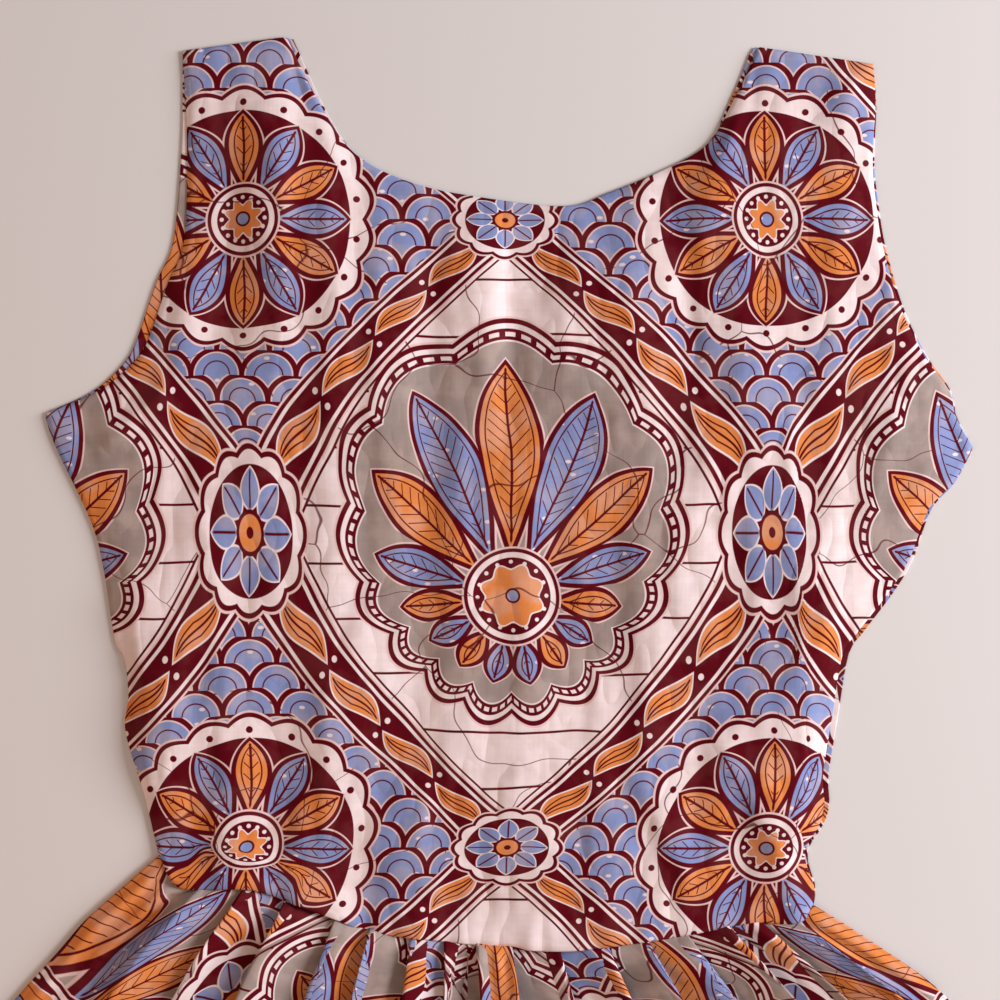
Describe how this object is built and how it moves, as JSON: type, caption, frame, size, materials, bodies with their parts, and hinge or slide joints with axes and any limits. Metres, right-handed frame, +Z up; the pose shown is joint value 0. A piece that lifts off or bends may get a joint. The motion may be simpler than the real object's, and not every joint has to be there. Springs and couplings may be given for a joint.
{
  "type": "sleeveless wax print dress, laid flat",
  "caption": "Sleeveless scoop-neck dress with a fitted bodice and a full pleated skirt, in printed cotton, lying flat and face up.",
  "frame": {"origin": "on the surface that the dress lies on, under the middle of its box: halfway between shoulders and hem, on the middle of the hem", "axes": "+Y from the hem to the shoulders, +X to the right as the laid dress is seen from above, +Z up from the surface"},
  "size_m": [0.9, 1, 0.0157],
  "materials": {
    "printed_cotton": "plain woven wax-printed cotton, matt with a low sheen"
  },
  "bodies": {
    "root": {"bodice_front": "printed_cotton", "bodice_back": "printed_cotton", "skirt_front": "printed_cotton", "skirt_back": "printed_cotton"}
  },
  "joints": []
}
